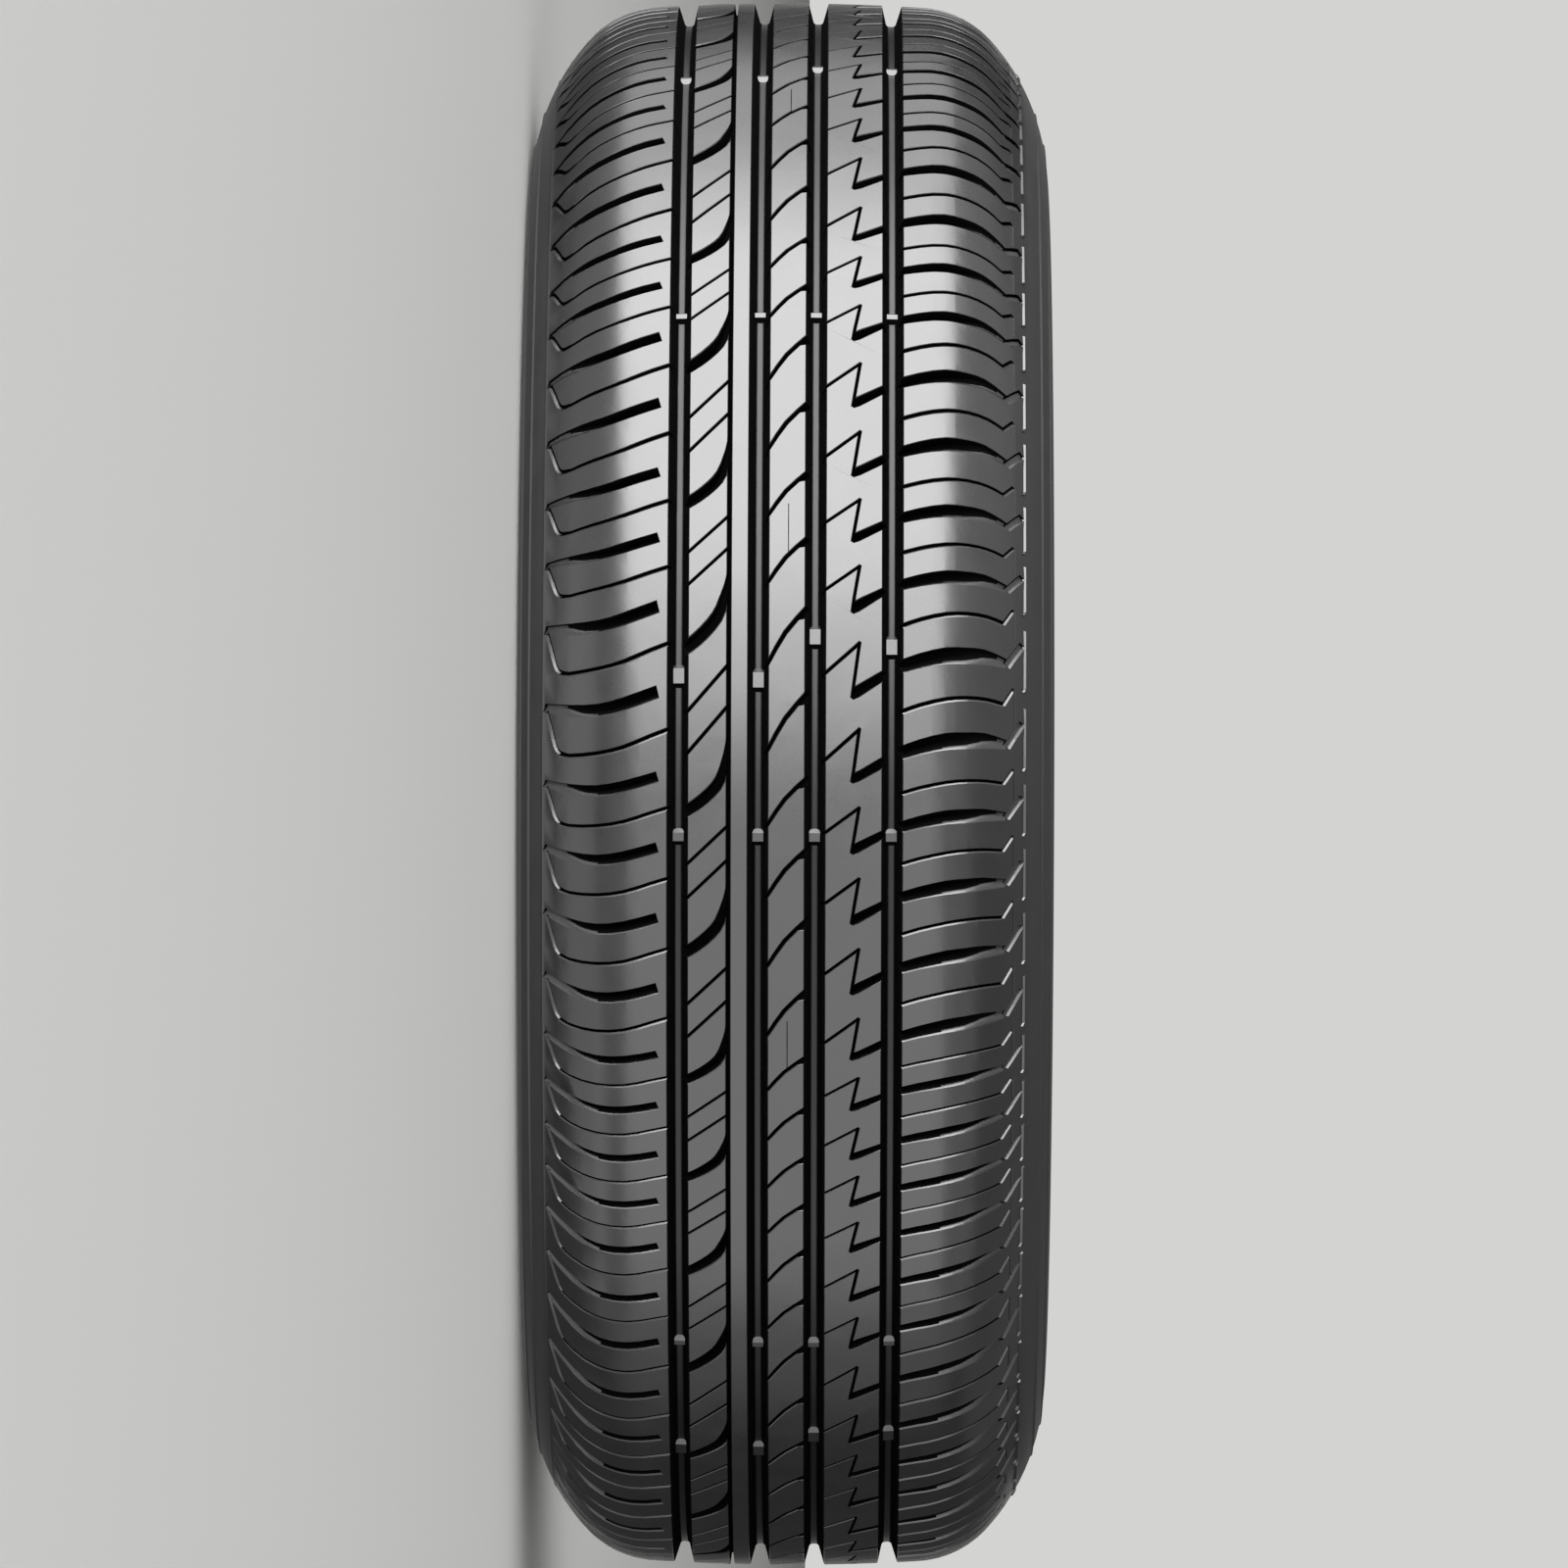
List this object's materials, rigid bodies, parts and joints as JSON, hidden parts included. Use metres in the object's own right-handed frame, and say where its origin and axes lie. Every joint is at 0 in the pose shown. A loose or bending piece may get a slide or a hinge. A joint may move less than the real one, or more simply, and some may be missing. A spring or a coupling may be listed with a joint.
{
  "type": "car tyre",
  "caption": "Radial passenger-car tyre with an asymmetric ribbed tread, straight grooves, curved cross slots and rounded shoulders, lying on its sidewall.",
  "frame": {"origin": "centre of the wheel: on the spin axis, midway between the two beads", "axes": "+Z along the spin axis, towards the tyre's outer side; X and Y in the wheel's mid-plane"},
  "size_m": [0.6148, 0.6148, 0.202],
  "materials": {
    "rubber": "satin"
  },
  "bodies": {
    "root": {"tyre": "rubber"}
  },
  "joints": []
}
